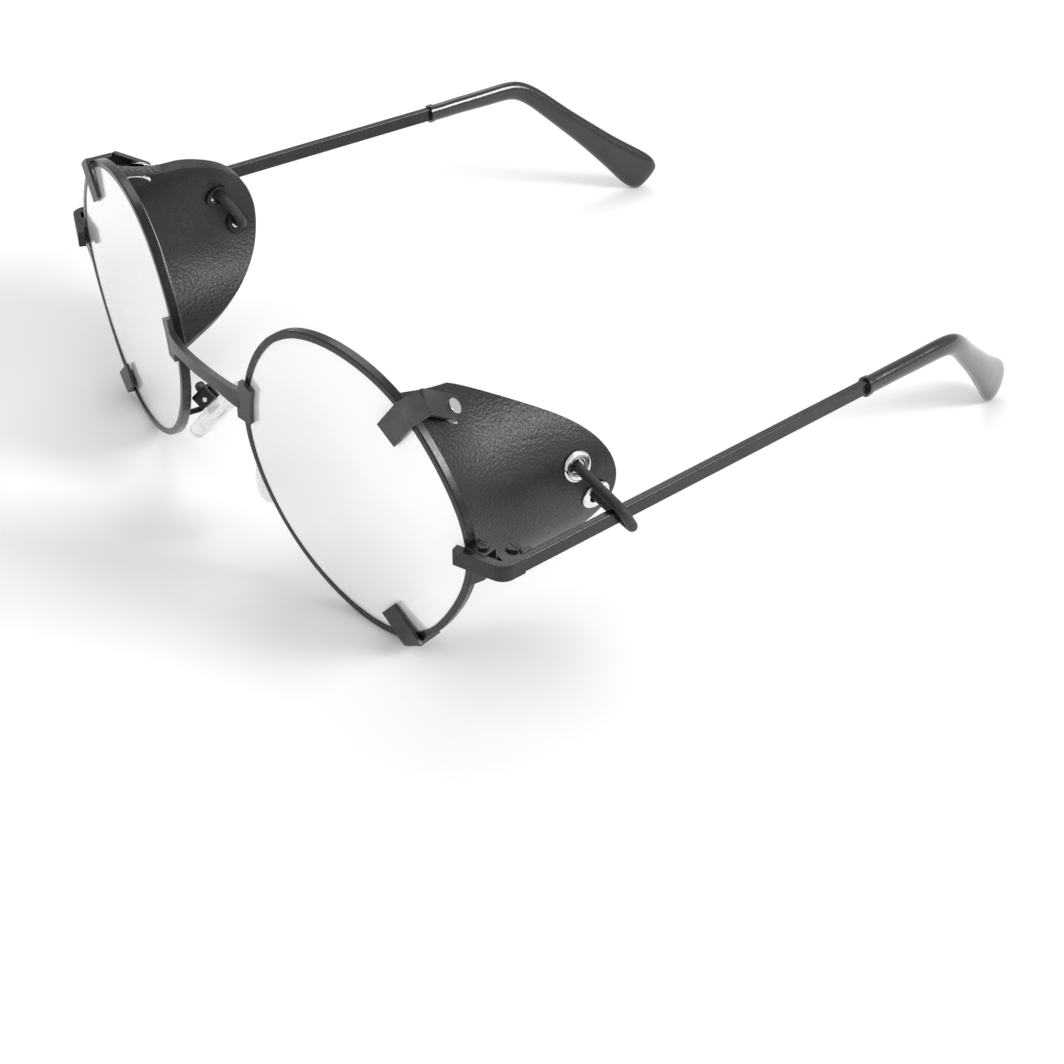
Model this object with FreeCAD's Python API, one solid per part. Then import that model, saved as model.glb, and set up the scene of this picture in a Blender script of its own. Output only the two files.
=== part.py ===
import FreeCAD
import Part
import math
import os

# Glacier glasses: two grooved metal rims with curved lenses, a saddle bridge, folding temples with
# moulded tips, rocking nose pads, and a leather side shield on each side that is clipped and riveted
# to the rim and laced to the temple with a cord loop.
#
# Millimetres. +X is the wearer's left, -Y is the front, +Z is up. The glasses stand on the two rims
# and the two temple tips, whose lowest points lie at Z = 0. The origin is under the middle of the
# whole object. Every part is modelled for the wearer's left and mirrored for the right.

V = FreeCAD.Vector
X_AXIS = V(1, 0, 0)
Y_AXIS = V(0, 1, 0)
Z_AXIS = V(0, 0, 1)

# ---- driving dimensions -------------------------------------------------------------------------

# rims and lenses
RIM_RADIUS = 25.2            # mean radius of the rim's outer edge
RIM_LOBES = ((2, 0.0409, -59.1), (3, 0.0109, 24.9), (4, 0.0119, 11.0),
             (5, 0.0062, -2.9), (6, 0.0061, -2.2))      # order, share of the radius, direction
RIM_WALL = 1.15              # radial thickness
RIM_DEPTH = 1.6              # front to back
RIM_EDGE = 0.25              # rounding of the rim's outer corners
GROOVE_DEPTH = 0.45
GROOVE_WIDTH = 0.8
LENS_THICKNESS = 1.6
LENS_CURVE = 265.0           # radius of the lens's front face
LENS_SETBACK = 0.2           # lens edge behind the rim's front face
LENS_GAP = 0.05              # lens to rim, all round
LENS_CENTRE_X = 34.7         # half the distance between the two lens centres
WRAP = 9.9                   # each lens turned outwards about the vertical
TILT = 2.0                   # top of the lenses leaning forwards

# end pieces, closing blocks and hinges
SPLIT_ANGLE = -3.2           # where the rim is cut, from the temporal side towards the top
SPLIT_GAP = 0.3
BLOCK_REACH = 2.9            # closing blocks stand this far out from the rim
BLOCK_HEIGHT = 2.6
BLOCK_DEPTH = 2.2
END_HEIGHT = 2.9
END_ROOT_INSET = 2.0         # start of the end piece's centre line, inside the rim's mean edge
END_ROOT_Y = 2.6
END_CORNER_Y = 5.7
END_CORNER_RADIUS = 1.8
BAR_THICKNESS = 1.3
ROOT_LIP = 0.5               # end piece in front of the rim
BAR_LIFT = 0.6               # centre line of the temples above the lens centres
HINGE_Y = 9.4                # plane where the temple meets the end piece
HINGE_GAP = 0.06             # play between faces that turn against each other
KNUCKLE_RADIUS = 1.3
KNUCKLE_GAP = 0.3            # knuckle to the bar beside it
LEAF_LENGTH = 3.0
PIN_RADIUS = 0.6
PIN_CLEARANCE = 0.03
RIM_SCREW_RADIUS = 0.5
SCREW_HEAD = 0.5             # head height of the small screws

# temples
TEMPLE_OUTSET = 5.63         # centre line at the hinge plane, outside the rim's mean edge
SPLAY = -2.82                # the temples close in towards the ears
TEMPLE_HEIGHT = 2.6
ELBOW_LENGTH = 95.1          # hinge plane to the point where the ear bend turns
SLEEVE_START = 73.0          # hinge plane to the start of the moulded tip
BEND_RADIUS = 11.0
LEG_DIRECTION = V(-8.7, 26.4, -23.8)
CORE_RADIUS = 0.65
CORE_GAP = 0.02
CORE_SHORT = 9.0             # the core ends this far before the tip does
TIP_COLLAR = ((0.0, 1.5, 1.85), (0.8, 1.5, 1.85))       # distance, half thickness, half height
TIP_SECTIONS = ((0.8, 1.3, 1.65), (5.0, 1.3, 1.7), (10.0, 1.3, 1.75), (16.0, 1.3, 1.85),
                (23.0, 1.35, 1.95), (30.0, 1.4, 2.1), (37.0, 1.5, 2.35), (44.0, 1.6, 2.8),
                (50.0, 1.65, 3.4), (55.0, 1.65, 4.0), (57.8, 1.45, 3.8), (59.3, 0.9, 2.9))
GROUND_PLAY = 0.03           # tips above the ground that the rims stand on

# bridge
BRIDGE_THICKNESS = 1.1
BRIDGE_WAIST = 2.3
BRIDGE_ROOT = 3.4            # height of the bridge where it meets the rims
BRIDGE_ROOT_Z = 5.7          # above the lens centres
BRIDGE_RISE = 1.3            # the middle is this much higher than the ends
BRIDGE_ARCH = 1.7            # the middle is this much further forward
PLATE_ANGLES = (158.0, 175.0)
PLATE_THICKNESS = 0.9
PLATE_INSIDE = 2.5
PLATE_OUTSIDE = 0.35

# nose pads
PAD_CENTRE_OUT = 0.3         # pad centre from the rim's mean inner edge, towards the nose side
PAD_CENTRE_Y = 1.7
PAD_CENTRE_DROP = 10.2       # below the lens centres
PAD_LONG_AXIS = V(-0.357, 0.589, 0.723)
PAD_NORMAL = V(-0.80, 0.50, -0.30)   # the face that rests on the nose
PAD_LENGTH = 13.0
PAD_WIDTH = 7.4
PAD_THICKNESS = 2.6
PAD_ROUNDING = 0.9
BOX_LENGTH = 3.2
BOX_WALL = 0.7
BOX_FLOOR = 0.6
BOX_START = 0.45             # pad box above the pad's back
TAB_WIDTH = 0.9
TAB_LENGTH = 2.0
TAB_HEIGHT = 2.0
TAB_DEPTH = 1.0              # tab sunk in the pad
TAB_GAP = 0.06
PAD_SCREW_RADIUS = 0.4
ARM_RADIUS = 0.5
ARM_ANGLE = -149.0           # where the pad arm is brazed to the back of the rim
ARM_BACK = 2.6               # the arm runs back this far before it turns up
ARM_OUT = 2.6                # and passes this far beside the pad box
ARM_OVER = 0.9               # and this far over it
ARM_BEND = 0.9

# leather side shields
LEATHER = 1.6
SHIELD_INSETS = ((1.0, 1.2), (11.0, 4.6), (44.0, 5.5))   # depth, outer face inside the rim's edge
SHIELD_OUTLINE = ((8.6, 19.4), (14.8, 17.4), (22.5, 13.9), (30.8, 8.4), (35.6, 0.5),
                  (34.2, -8.4), (27.6, -14.4), (19.0, -17.2), (8.6, -19.4))   # depth, height
SHIELD_ENDS = (67.0, -72.0)  # the leather's upper and lower end at the rim, about the lens
SHIELD_BACKSET = 0.5         # leather behind the rim
STRIP_WIDTH = 4.2
STRIP_THICKNESS = 0.6
STRIP_LIFT = 0.02            # strip above the rim
STRIP_CREASE = 3.6           # rim plane to the crease
TAB_REACH = 6.4              # hook tab inwards from the rim's outer edge
TAB_CLEAR = 0.40             # hook tab in front of the rim
# each bracket's angle on the rim, lean of its hook tab, and angle and depth of its rivet
BRACKETS = ((56.5, 53.0, 55.0, 10.3), (-64.0, -42.0, -58.0, 10.3))
RIVET_RADIUS = 0.9
RIVET_HEAD_RADIUS = 1.25
RIVET_CAP_RADIUS = 2.5
RIVET_PLATE = 0.35
EYELETS = ((10.6, 28.0), (-9.5, 31.9))   # angle about the lens, depth
EYELET_RADIUS = 2.6
EYELET_BORE = 1.35
EYELET_WALL = 0.35
EYELET_FLANGE = 0.55
CORD_RADIUS = 0.85
CORD_DEPTH_Y = 28.6          # where the loop crosses the temple
CORD_PLAY = 0.5              # cord to the temple, all round
CORD_BEHIND = 1.6            # cord to the back of the leather
CORD_STRAIGHT = 2.4          # straight run of the cord in front of each eyelet
CORD_BEND = 1.9
CORD_WIDE_BEND = 5.0         # where the strands turn towards the temple

# ---- sizes that follow from these ---------------------------------------------------------------

RIM_SIDE_X = LENS_CENTRE_X + RIM_RADIUS
TEMPLE_X = RIM_SIDE_X + TEMPLE_OUTSET
END_ROOT = V(RIM_SIDE_X - END_ROOT_INSET, END_ROOT_Y, 0)
PAD_CENTRE = V(LENS_CENTRE_X - RIM_RADIUS + PAD_CENTRE_OUT, PAD_CENTRE_Y, -PAD_CENTRE_DROP)
SHIELD_PROFILE = [(depth, RIM_RADIUS - inset) for depth, inset in SHIELD_INSETS]


# ---- small tools --------------------------------------------------------------------------------

def box(low, high):
    return Part.makeBox(high.x - low.x, high.y - low.y, high.z - low.z, low)


def rod(start, end, radius):
    axis = end - start
    return Part.makeCylinder(radius, axis.Length, start, axis)


def moved(shape, placement):
    copy = shape.copy()
    copy.Placement = placement.multiply(copy.Placement)
    return copy


def mirrored(shape):
    return shape.mirror(V(0, 0, 0), X_AXIS)


def frame(origin, x_dir, z_dir):
    """Placement whose local X and Z lie along the given directions."""
    z_dir = V(z_dir).normalize()
    x_dir = V(x_dir)
    x_dir = (x_dir - z_dir * x_dir.dot(z_dir)).normalize()
    y_dir = z_dir.cross(x_dir)
    matrix = FreeCAD.Matrix(x_dir.x, y_dir.x, z_dir.x, origin.x,
                            x_dir.y, y_dir.y, z_dir.y, origin.y,
                            x_dir.z, y_dir.z, z_dir.z, origin.z,
                            0, 0, 0, 1)
    return FreeCAD.Placement(matrix)


def tight_bounds(shape):
    return shape.optimalBoundingBox(False, False)


def rounded_path(points, radii, closed=False):
    """Straight runs joined by tangent arcs, one radius for each turning point."""
    count = len(points)
    turning = range(count) if closed else range(1, count - 1)
    starts = {}
    ends = {}
    arcs = {}
    for number, index in enumerate(turning):
        here = points[index]
        back = (points[index - 1] - here).normalize()
        ahead = (points[(index + 1) % count] - here).normalize()
        half = back.getAngle(ahead) / 2
        reach = radii[number] / math.tan(half)
        starts[index] = here + back * reach
        ends[index] = here + ahead * reach
        bisector = (back + ahead).normalize()
        middle = here + bisector * (radii[number] / math.sin(half) - radii[number])
        arcs[index] = Part.Arc(starts[index], middle, ends[index]).toShape()
    edges = []
    for index in range(count if closed else count - 1):
        after = (index + 1) % count
        run_start = ends.get(index, points[index])
        run_end = starts.get(after, points[after])
        edges.append(Part.LineSegment(run_start, run_end).toShape())
        if after in arcs:
            edges.append(arcs[after])
    return Part.Wire(edges)


def swept(path, profile):
    sweep = Part.BRepOffsetAPI.MakePipeShell(path)
    sweep.add(profile)
    sweep.setTransitionMode(1)
    sweep.build()
    sweep.makeSolid()
    return sweep.shape()


def tube(path, radius):
    first = path.Edges[0]
    start = first.valueAt(first.FirstParameter)
    direction = first.tangentAt(first.FirstParameter)
    profile = Part.Wire(Part.Circle(start, direction, radius).toShape())
    return swept(path, profile)


# ---- rims and lenses ----------------------------------------------------------------------------

def rim_radius(angle):
    """Radius of the rim's outer edge; the angle runs from the temporal side towards the top."""
    share = 1.0
    for order, size, direction in RIM_LOBES:
        share += size * math.cos(math.radians(order * (angle - direction)))
    return RIM_RADIUS * share


def rim_point(angle, offset=0.0, depth=0.0):
    radius = rim_radius(angle) + offset
    turn = math.radians(angle)
    return V(radius * math.cos(turn), depth, radius * math.sin(turn))


def rim_tangent(angle, offset):
    step = 0.01
    return (rim_point(angle + step, offset) - rim_point(angle - step, offset)).normalize()


def disc(offset, front, back):
    """Plate with the rim's outline, made larger by the offset, between two depths."""
    edges = []
    for first in range(45, 405, 90):
        points = [rim_point(angle, offset, front) for angle in range(first, first + 91, 9)]
        curve = Part.BSplineCurve()
        curve.interpolate(Points=points, InitialTangent=rim_tangent(first, offset),
                          FinalTangent=rim_tangent(first + 90, offset))
        edges.append(curve.toShape())
    face = Part.Face(Part.Wire(edges))
    return face.extrude(V(0, back - front, 0))


def standing_height():
    """Lens centre height that puts the lowest point of the placed rims at Z = 0."""
    tilt = FreeCAD.Rotation(X_AXIS, TILT)
    wrap = FreeCAD.Rotation(Z_AXIS, WRAP)
    lowest = 0.0
    for angle in range(-180, 180):
        for depth in (0.0, RIM_DEPTH):
            point = tilt.multVec(wrap.multVec(rim_point(angle, 0.0, depth)))
            lowest = min(lowest, point.z)
    return -lowest


HEIGHT = standing_height()
EYE = FreeCAD.Placement(V(0, 0, HEIGHT), FreeCAD.Rotation(X_AXIS, TILT)).multiply(
    FreeCAD.Placement(V(LENS_CENTRE_X, 0, 0), FreeCAD.Rotation(Z_AXIS, WRAP)))


def make_rim():
    outer = disc(0.0, 0.0, RIM_DEPTH)
    corners = [edge for edge in outer.Edges if edge.Length > RIM_DEPTH * 2]
    outer = outer.makeFillet(RIM_EDGE, corners)
    opening = disc(-RIM_WALL, -1.0, RIM_DEPTH + 1.0)
    groove_front = (RIM_DEPTH - GROOVE_WIDTH) / 2
    groove = disc(-RIM_WALL + GROOVE_DEPTH, groove_front, groove_front + GROOVE_WIDTH)
    ring = outer.cut(opening).cut(groove)
    split = rim_point(SPLIT_ANGLE)
    gap_top = split.z
    gap_bottom = gap_top - SPLIT_GAP
    gap = box(V(split.x - 3, -1, gap_bottom), V(split.x + 6, RIM_DEPTH + 1, gap_top))
    block = lower_block(gap_bottom)
    return ring.fuse(block).removeSplitter().cut(disc(-RIM_WALL, -1, 4)).cut(groove).cut(gap)


def block_x():
    return rim_point(SPLIT_ANGLE).x - RIM_WALL / 2


def lower_block(top):
    """Tapered closing block under the split, brazed to the lower end of the rim."""
    inner = block_x()
    outer = rim_point(SPLIT_ANGLE).x + BLOCK_REACH
    front = BLOCK_FRONT
    outline = [V(inner, front, top), V(outer, front, top), V(outer - 0.5, front, top - 1.2),
               V(inner, front, top - BLOCK_HEIGHT - 1.3), V(inner, front, top)]
    return Part.Face(Part.makePolygon(outline)).extrude(V(0, BLOCK_DEPTH, 0))


def make_lens():
    rim_inside = -RIM_WALL - LENS_GAP
    edge_radius = RIM_RADIUS - RIM_WALL
    rise = LENS_CURVE - math.sqrt(LENS_CURVE ** 2 - edge_radius ** 2)
    front_apex = LENS_SETBACK - rise
    outline = disc(rim_inside, -5.0, 8.0)
    ball = Part.makeSphere(LENS_CURVE, V(0, front_apex + LENS_CURVE, 0))
    hollow = Part.makeSphere(LENS_CURVE, V(0, front_apex + LENS_CURVE + LENS_THICKNESS, 0))
    glass = outline.common(ball).cut(hollow)
    flange_front = (RIM_DEPTH - GROOVE_WIDTH) / 2 + LENS_GAP
    flange_back = flange_front + GROOVE_WIDTH - 2 * LENS_GAP
    flange = disc(-RIM_WALL + GROOVE_DEPTH - LENS_GAP, flange_front, flange_back)
    flange = flange.cut(disc(rim_inside - 0.6, -1.0, 3.0))
    return glass.fuse(flange).removeSplitter()


# ---- end pieces and hinges ----------------------------------------------------------------------

BLOCK_FRONT = 0.1
BLOCK_BACK = BLOCK_FRONT + BLOCK_DEPTH
BLOCK_TOP = BAR_LIFT + END_HEIGHT / 2
TEMPLE_FRAME = FreeCAD.Placement(V(TEMPLE_X, HINGE_Y, HEIGHT + BAR_LIFT),
                                 FreeCAD.Rotation(Z_AXIS, -SPLAY))
PIVOT_X = -(BAR_THICKNESS / 2 + KNUCKLE_GAP + KNUCKLE_RADIUS)
KNUCKLE_HEIGHT = (END_HEIGHT - 2 * HINGE_GAP) / 3


def knuckle(low, high, leaf_low, leaf_high):
    """Hinge barrel with the leaf that joins it to the bar beside it, in the temple's frame."""
    barrel = Part.makeCylinder(KNUCKLE_RADIUS, high - low, V(PIVOT_X, 0, low))
    leaf = box(V(PIVOT_X - 0.15, leaf_low, low), V(-BAR_THICKNESS / 2, leaf_high, high))
    return barrel.fuse(leaf)


def pin_hole(radius):
    return Part.makeCylinder(radius, 3 * END_HEIGHT, V(PIVOT_X, 0, -1.5 * END_HEIGHT))


def make_end_piece():
    """Root block on the rim, bar round the corner, and the outer two knuckles of the hinge."""
    lift = HEIGHT + BAR_LIFT
    split = rim_point(SPLIT_ANGLE)
    block = box(V(block_x(), -ROOT_LIP, split.z),
                V(split.x + BLOCK_REACH, BLOCK_BACK, BLOCK_TOP))
    upright = [edge for edge in block.Edges if abs(edge.CenterOfMass.y + ROOT_LIP) < 0.01
               and edge.CenterOfMass.z > split.z + 0.1]
    block = moved(block.makeFillet(ROOT_LIP * 0.9, upright), EYE)
    back = TEMPLE_FRAME.multVec(V(0, -HINGE_GAP / 2, 0))
    inward = TEMPLE_FRAME.multVec(V(0, END_CORNER_Y - HINGE_Y, 0))
    corner = V(inward.x, END_CORNER_Y, lift)
    root = V(END_ROOT.x, END_ROOT.y, lift)
    path = rounded_path([root, corner, back], [END_CORNER_RADIUS])
    along = (corner - root).normalize()
    side = along.cross(Z_AXIS) * (BAR_THICKNESS / 2)
    up = Z_AXIS * (END_HEIGHT / 2)
    ring = [root - side - up, root + side - up, root + side + up, root - side + up]
    bar = swept(path, Part.makePolygon(ring + [ring[0]]))
    half = END_HEIGHT / 2
    top = knuckle(half - KNUCKLE_HEIGHT, half, -LEAF_LENGTH, -HINGE_GAP / 2)
    bottom = knuckle(-half, -half + KNUCKLE_HEIGHT, -LEAF_LENGTH, -HINGE_GAP / 2)
    hinge = top.fuse(bottom).cut(pin_hole(PIN_RADIUS + PIN_CLEARANCE))
    piece = block.fuse([bar, moved(hinge, TEMPLE_FRAME)]).removeSplitter()
    screw_hole = moved(rim_screw_shank(RIM_SCREW_RADIUS), EYE)
    rim_seat = moved(disc(0.0, 0.0, RIM_DEPTH), EYE)
    return piece.cut(rim_seat).cut(screw_hole)


def rim_screw_axis():
    split = rim_point(SPLIT_ANGLE)
    return V(split.x + BLOCK_REACH * 0.45, BLOCK_FRONT + BLOCK_DEPTH * 0.55, split.z)


def rim_screw_shank(radius):
    axis = rim_screw_axis()
    return rod(axis - Z_AXIS * (BLOCK_HEIGHT * 0.8), V(axis.x, axis.y, BLOCK_TOP), radius)


def make_rim_screw():
    axis = rim_screw_axis()
    seat = V(axis.x, axis.y, BLOCK_TOP)
    head = rod(seat, seat + Z_AXIS * SCREW_HEAD, RIM_SCREW_RADIUS * 1.7)
    return rim_screw_shank(RIM_SCREW_RADIUS).fuse(slotted(head, seat + Z_AXIS * SCREW_HEAD))


def slotted(head, top):
    slot = box(V(top.x - 2, top.y - 0.1, top.z - 0.2), V(top.x + 2, top.y + 0.1, top.z + 1))
    return head.cut(slot)


def make_hinge_screw():
    half = END_HEIGHT / 2
    shank = rod(V(PIVOT_X, 0, -half), V(PIVOT_X, 0, half), PIN_RADIUS)
    seat = V(PIVOT_X, 0, half)
    head = rod(seat, seat + Z_AXIS * SCREW_HEAD, KNUCKLE_RADIUS * 0.85)
    screw = shank.fuse(slotted(head, seat + Z_AXIS * SCREW_HEAD))
    return moved(screw, TEMPLE_FRAME)


# ---- temples ------------------------------------------------------------------------------------

def ear_path(start, leg):
    """Centre line in the temple's frame, from a start distance round the ear bend."""
    elbow = V(0, ELBOW_LENGTH, 0)
    end = elbow + V(LEG_DIRECTION).normalize() * leg
    return rounded_path([V(0, start, 0), elbow, end], [BEND_RADIUS])


def point_on(path, distance):
    """Point and direction at a distance along a wire."""
    for edge in path.Edges:
        if distance <= edge.Length or edge is path.Edges[-1]:
            parameter = edge.getParameterByLength(min(distance, edge.Length))
            return edge.valueAt(parameter), edge.tangentAt(parameter)
        distance -= edge.Length
    return None


def tip_ring(path, distance, thick, high):
    """Upright ellipse square to the ear path."""
    point, direction = point_on(path, distance)
    side = direction.cross(Z_AXIS).normalize()
    ring = Part.Wire(Part.Ellipse(V(0, 0, 0), high, thick).toShape())
    return moved(ring, frame(point, side.cross(direction), direction))


def tip_blank(leg):
    path = ear_path(SLEEVE_START, leg)
    start = TIP_SECTIONS[0][0]
    stretch = (path.Length - start) / (TIP_SECTIONS[-1][0] - start)
    sleeve = []
    for distance, thick, high in TIP_SECTIONS:
        sleeve.append(tip_ring(path, start + (distance - start) * stretch, thick, high))
    collar = [tip_ring(path, *section) for section in TIP_COLLAR]
    return Part.makeLoft(sleeve, True, False).fuse(Part.makeLoft(collar, True, True))


def leg_length():
    """Leg that brings the moulded tip down to the ground that the rims stand on."""
    leg = 36.0
    for attempt in range(4):
        blank = tip_blank(leg)
        low = tight_bounds(moved(blank, TEMPLE_FRAME)).ZMin - GROUND_PLAY
        leg += low / -V(LEG_DIRECTION).normalize().z
    return leg


LEG = leg_length()


def core(radius, short):
    end_gap = CORE_SHORT - short
    return tube(ear_path(SLEEVE_START - 1.0, LEG - end_gap), radius)


def make_temple():
    half = TEMPLE_HEIGHT / 2
    bar = box(V(-BAR_THICKNESS / 2, HINGE_GAP / 2, -half),
              V(BAR_THICKNESS / 2, SLEEVE_START, half))
    rails = [edge for edge in bar.Edges if edge.Length > ELBOW_LENGTH / 2]
    bar = bar.makeFillet(0.3, rails)
    barrel_half = KNUCKLE_HEIGHT / 2
    middle = knuckle(-barrel_half, barrel_half, HINGE_GAP / 2, LEAF_LENGTH)
    middle = middle.cut(pin_hole(PIN_RADIUS + PIN_CLEARANCE))
    shape = bar.fuse([middle, core(CORE_RADIUS, 0.0)]).removeSplitter()
    return moved(shape, TEMPLE_FRAME)


def make_temple_tip():
    blank = tip_blank(LEG)
    return moved(blank.cut(core(CORE_RADIUS + CORE_GAP, CORE_GAP)), TEMPLE_FRAME)


# ---- bridge -------------------------------------------------------------------------------------

def sector(inside, outside, angles, front, back):
    """Part of the rim's outline ring between two angles."""
    ring = disc(outside, front, back).cut(disc(-inside, front - 1, back + 1))
    centre = V(0, front - 1, 0)
    corners = [centre]
    for angle in angles:
        turn = math.radians(angle)
        corners.append(centre + V(math.cos(turn), 0, math.sin(turn)) * (2 * RIM_RADIUS))
    wedge = Part.Face(Part.makePolygon(corners + [centre]))
    return ring.common(wedge.extrude(V(0, back - front + 2, 0)))


def make_bridge():
    """Arched band, waisted in front view, with a plate at each end brazed to the rim's front."""
    root_angle = sum(PLATE_ANGLES) / 2
    root = EYE.multVec(rim_point(root_angle, 0.0, -PLATE_THICKNESS / 2))
    ends = V(root.x, root.y, 0)
    middle = V(0, root.y - BRIDGE_ARCH, 0)
    half = BRIDGE_THICKNESS / 2
    shift = V(0, half, 0)
    far_end = V(-ends.x, ends.y, 0)
    front_arc = Part.Arc(far_end - shift, middle - shift, ends - shift).toShape()
    back_arc = Part.Arc(ends + shift, middle + shift, far_end + shift).toShape()
    left_side = Part.LineSegment(ends - shift, ends + shift).toShape()
    right_side = Part.LineSegment(far_end + shift, far_end - shift).toShape()
    footprint = Part.Face(Part.Wire([front_arc, left_side, back_arc, right_side]))
    band = footprint.extrude(V(0, 0, 3 * BRIDGE_ROOT))
    band.translate(V(0, 0, HEIGHT + BRIDGE_ROOT_Z - 1.5 * BRIDGE_ROOT))
    root_z = HEIGHT + BRIDGE_ROOT_Z
    waist_x = ends.x * 0.55
    waist_z = root_z + BRIDGE_RISE
    edges = []
    for side in (1, -1):
        tall = side * BRIDGE_ROOT / 2
        thin = side * BRIDGE_WAIST / 2
        points = [V(-ends.x - 2, -30, root_z + tall), V(-ends.x, -30, root_z + tall * 0.97),
                  V(-waist_x, -30, waist_z - BRIDGE_RISE * 0.25 + thin), V(0, -30, waist_z + thin),
                  V(waist_x, -30, waist_z - BRIDGE_RISE * 0.25 + thin),
                  V(ends.x, -30, root_z + tall * 0.97), V(ends.x + 2, -30, root_z + tall)]
        curve = Part.BSplineCurve()
        curve.interpolate(points if side > 0 else points[::-1])
        edges.append(curve.toShape())
    joins = []
    for first, second in ((edges[0], edges[1]), (edges[1], edges[0])):
        ends_here = first.Vertexes[-1].Point
        starts_there = second.Vertexes[0].Point
        joins.append(Part.LineSegment(ends_here, starts_there).toShape())
    outline = Part.Face(Part.Wire([edges[0], joins[0], edges[1], joins[1]]))
    band = band.common(outline.extrude(V(0, 60, 0)))
    plate = moved(sector(PLATE_INSIDE, PLATE_OUTSIDE, PLATE_ANGLES, -PLATE_THICKNESS, 0.0), EYE)
    inside = moved(disc(0.0, 0.0, RIM_DEPTH), EYE)
    bridge = band.fuse([plate, mirrored(plate)]).removeSplitter()
    return bridge.cut(inside).cut(mirrored(inside))


# ---- nose pads ----------------------------------------------------------------------------------

PAD_FRAME = frame(PAD_CENTRE + V(0, 0, HEIGHT), PAD_LONG_AXIS,
                  V(PAD_NORMAL - PAD_LONG_AXIS * PAD_NORMAL.dot(PAD_LONG_AXIS)) * -1)
PAD_BACK = PAD_THICKNESS / 2
TAB_TOP = PAD_BACK + BOX_START + TAB_HEIGHT
PAD_PIVOT_Z = PAD_BACK + BOX_START + TAB_HEIGHT * 0.5
SLOT_HALF = TAB_WIDTH / 2 + TAB_GAP
BOX_HALF = SLOT_HALF + BOX_WALL
BOX_TOP = TAB_TOP + 0.25 + BOX_FLOOR


def make_pad_tab():
    tab = box(V(-TAB_LENGTH / 2, -TAB_WIDTH / 2, PAD_BACK - TAB_DEPTH),
              V(TAB_LENGTH / 2, TAB_WIDTH / 2, TAB_TOP))
    top = [edge for edge in tab.Edges
           if abs(edge.CenterOfMass.z - TAB_TOP) < 0.01 and edge.Length < TAB_WIDTH * 1.1]
    tab = tab.makeFillet(TAB_LENGTH * 0.4, top)
    return tab.cut(pad_pin(PAD_SCREW_RADIUS + PIN_CLEARANCE))


def pad_pin(radius):
    return rod(V(0, -BOX_HALF, PAD_PIVOT_Z), V(0, BOX_HALF, PAD_PIVOT_Z), radius)


def make_pad_screw():
    head = rod(V(0, -BOX_HALF, PAD_PIVOT_Z), V(0, -BOX_HALF - 0.4, PAD_PIVOT_Z), 0.75)
    return pad_pin(PAD_SCREW_RADIUS).fuse(head)


def make_pad_box():
    outer = box(V(-BOX_LENGTH / 2, -BOX_HALF, PAD_BACK + BOX_START),
                V(BOX_LENGTH / 2, BOX_HALF, BOX_TOP))
    slot = box(V(-BOX_LENGTH, -SLOT_HALF, 0), V(BOX_LENGTH, SLOT_HALF, BOX_TOP - BOX_FLOOR))
    corners = [edge for edge in outer.Edges if abs(edge.CenterOfMass.z - BOX_TOP) < 0.01]
    outer = outer.makeFillet(0.3, corners)
    return outer.cut([slot, pad_pin(PAD_SCREW_RADIUS)])


def make_nose_pad():
    half_length = PAD_LENGTH / 2
    half_width = PAD_WIDTH / 2
    ellipse = Part.Ellipse(V(0, 0, -PAD_THICKNESS / 2), half_length, half_width)
    pad = Part.Face(Part.Wire(ellipse.toShape())).extrude(V(0, 0, PAD_THICKNESS))
    rims = [edge for edge in pad.Edges if edge.Length > PAD_LENGTH]
    pad = pad.makeFillet(PAD_ROUNDING, rims)
    pocket = box(V(-TAB_LENGTH / 2, -TAB_WIDTH / 2, PAD_BACK - TAB_DEPTH),
                 V(TAB_LENGTH / 2, TAB_WIDTH / 2, PAD_BACK + 1))
    return pad.cut(pocket)


def make_pad_arm(rim, pad_box):
    """Round wire from the back of the rim to the back of the pad box."""
    start = EYE.multVec(rim_point(ARM_ANGLE, -RIM_WALL / 2, RIM_DEPTH - 0.2))
    back = EYE.multVec(rim_point(ARM_ANGLE, -RIM_WALL / 2, RIM_DEPTH + ARM_BACK))
    beside = PAD_FRAME.multVec(V(0, -ARM_OUT, BOX_TOP + ARM_OVER * 0.8))
    over = PAD_FRAME.multVec(V(0, 0, BOX_TOP + ARM_OVER))
    end = PAD_FRAME.multVec(V(0, 0, BOX_TOP - BOX_FLOOR / 2))
    path = rounded_path([start, back, beside, over, end], [ARM_BEND] * 3)
    return tube(path, ARM_RADIUS).cut(rim).cut(pad_box)


# ---- side shields -------------------------------------------------------------------------------

def shield_radius(depth):
    """Outer radius of the leather about the lens centre line."""
    for (near_y, near_r), (far_y, far_r) in zip(SHIELD_PROFILE, SHIELD_PROFILE[1:]):
        if depth <= far_y:
            return near_r + (far_r - near_r) * (depth - near_y) / (far_y - near_y)
    return SHIELD_PROFILE[-1][1]


def shield_wall():
    outer = [V(radius, depth, 0) for depth, radius in SHIELD_PROFILE]
    inner = [V(radius - LEATHER, depth, 0) for depth, radius in SHIELD_PROFILE[::-1]]
    section = Part.Face(Part.makePolygon(outer + inner + [outer[0]]))
    wall = section.revolve(V(0, 0, 0), Y_AXIS, 360)
    wall.translate(V(LENS_CENTRE_X, 0, HEIGHT))
    return wall


def shield_wedge():
    """Space between the planes that end the leather above and below."""
    far = 3 * RIM_RADIUS
    corners = [V(0, 0, 0)]
    for angle in SHIELD_ENDS:
        turn = math.radians(angle)
        corners.append(V(far * math.cos(turn), 0, far * math.sin(turn)))
    wedge = Part.Face(Part.makePolygon(corners + [corners[0]])).extrude(V(0, far, 0))
    wedge.translate(V(LENS_CENTRE_X, 0, HEIGHT))
    return wedge


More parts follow.
